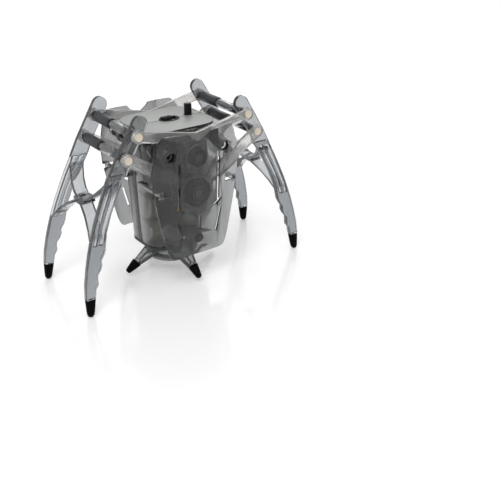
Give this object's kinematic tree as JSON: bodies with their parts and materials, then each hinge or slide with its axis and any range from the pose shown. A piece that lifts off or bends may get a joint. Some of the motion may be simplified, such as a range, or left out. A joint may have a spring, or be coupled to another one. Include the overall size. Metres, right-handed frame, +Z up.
{
  "type": "walking spider robot",
  "caption": "Small motor-driven spider robot: see-through leg frames carried round on cranks beside a round-cornered body that steers on a central footed turntable.",
  "frame": {"origin": "on the floor, at the middle of the box round the whole part; the body sits one crank throw left of it", "axes": "+Z up, +X from the left leg pair to the right leg pair, -Y towards the front cover plate"},
  "size_m": [0.1132, 0.0512, 0.08],
  "materials": {
    "smoky_leg": "smoky blue-grey see-through plastic, glossy",
    "smoky_housing": "grey-green see-through plastic",
    "frosted_cover": "frosted smoky grey see-through plastic",
    "clear_link": "clear, slightly milky plastic",
    "cream_head": "cream plastic heads on a dark rod",
    "black_plastic": "black plastic",
    "black_rubber": "black soft rubber",
    "dark_grey": "dark grey plastic",
    "steel": "plain steel",
    "white_gear": "white acetal",
    "green_board": "green board lacquer",
    "brass": "turned brass"
  },
  "bodies": {
    "chassis": {"front_housing": "smoky_housing", "rear_housing": "smoky_housing", "bottom_plate": "dark_grey", "front_shield": "frosted_cover", "rear_shield": "frosted_cover", "front_right_screw": "black_plastic", "rear_right_screw": "black_plastic", "front_left_screw": "black_plastic", "rear_left_screw": "black_plastic", "circuit_board": "green_board", "gear_plate": "dark_grey", "lower_button_cell": "steel", "middle_button_cell": "steel", "upper_button_cell": "steel", "walk_motor": "steel", "steering_motor": "steel", "ir_receiver": "black_plastic"},
    "power_switch": {"power_switch_knob": "black_plastic"},
    "drive_crank": {"front_drive_crank": "dark_grey", "rear_drive_crankshaft": "dark_grey", "front_drive_crank_cap": "dark_grey", "rear_drive_crank_cap": "dark_grey", "drive_gear": "white_gear"},
    "upper_crank": {"front_upper_crank": "dark_grey", "rear_upper_crankshaft": "dark_grey", "front_upper_crank_cap": "dark_grey", "rear_upper_crank_cap": "dark_grey", "upper_gear": "white_gear"},
    "idler": {"idler_gear": "white_gear"},
    "reduction": {"reduction_gear": "white_gear"},
    "motor_shaft": {"motor_pinion": "brass"},
    "walking_frame": {"right_leg_frame": "smoky_leg", "left_leg_frame": "smoky_leg", "right_upper_tube": "smoky_leg", "right_lower_tube": "smoky_leg", "left_upper_tube": "smoky_leg", "left_lower_tube": "smoky_leg", "right_upper_pin": "cream_head", "right_lower_pin": "cream_head", "left_upper_pin": "cream_head", "left_lower_pin": "cream_head", "front_upper_beam": "clear_link", "rear_upper_beam": "clear_link", "front_lower_link": "clear_link", "rear_lower_link": "clear_link", "front_right_tip": "black_rubber", "rear_right_tip": "black_rubber", "front_left_tip": "black_rubber", "rear_left_tip": "black_rubber"},
    "turntable": {"turntable": "smoky_housing", "steering_gear": "white_gear", "right_centre_foot": "dark_grey", "rear_centre_foot": "dark_grey", "left_centre_foot": "dark_grey", "front_centre_foot": "dark_grey", "right_centre_tip": "black_rubber", "rear_centre_tip": "black_rubber", "left_centre_tip": "black_rubber", "front_centre_tip": "black_rubber"},
    "steering_shaft": {"steering_pinion": "brass"}
  },
  "joints": [
    {"name": "drive_spin", "type": "hinge", "parent": "chassis", "child": "drive_crank", "pos_m": [-0.002, 0, 0.0435], "axis": [0, 1, 0], "continuous": true},
    {"name": "frame_orbit", "type": "hinge", "parent": "drive_crank", "child": "walking_frame", "pos_m": [0, 0, 0.0435], "axis": [0, 1, 0], "continuous": true},
    {"name": "upper_crank_spin", "type": "hinge", "parent": "chassis", "child": "upper_crank", "pos_m": [-0.002, 0, 0.0594], "axis": [0, 1, 0], "continuous": true},
    {"name": "idler_spin", "type": "hinge", "parent": "chassis", "child": "idler", "pos_m": [-0.002, 0, 0.05145], "axis": [0, 1, 0], "continuous": true},
    {"name": "reduction_spin", "type": "hinge", "parent": "chassis", "child": "reduction", "pos_m": [0.0045, 0, 0.03341], "axis": [0, 1, 0], "continuous": true},
    {"name": "motor_spin", "type": "hinge", "parent": "chassis", "child": "motor_shaft", "pos_m": [-0.0005, 0, 0.02638], "axis": [0, 1, 0], "continuous": true},
    {"name": "turntable_turn", "type": "hinge", "parent": "chassis", "child": "turntable", "pos_m": [-0.002, 0.0005, 0.006], "axis": [0, 0, 1], "continuous": true},
    {"name": "steering_pinion_spin", "type": "hinge", "parent": "chassis", "child": "steering_shaft", "pos_m": [0.0071, 0.00275, 0.0169], "axis": [0, 0, 1], "continuous": true},
    {"name": "power_slide", "type": "slide", "parent": "chassis", "child": "power_switch", "axis": [1, 0, 0], "range_m": [0, 0.003]}
  ],
  "couplings": [
    {"joint": "frame_orbit", "follows": "drive_spin", "ratio": -1},
    {"joint": "upper_crank_spin", "follows": "drive_spin", "ratio": 1},
    {"joint": "idler_spin", "follows": "drive_spin", "ratio": -2},
    {"joint": "reduction_spin", "follows": "drive_spin", "ratio": -3},
    {"joint": "motor_spin", "follows": "drive_spin", "ratio": 6.8571},
    {"joint": "steering_pinion_spin", "follows": "turntable_turn", "ratio": -2.5714}
  ]
}
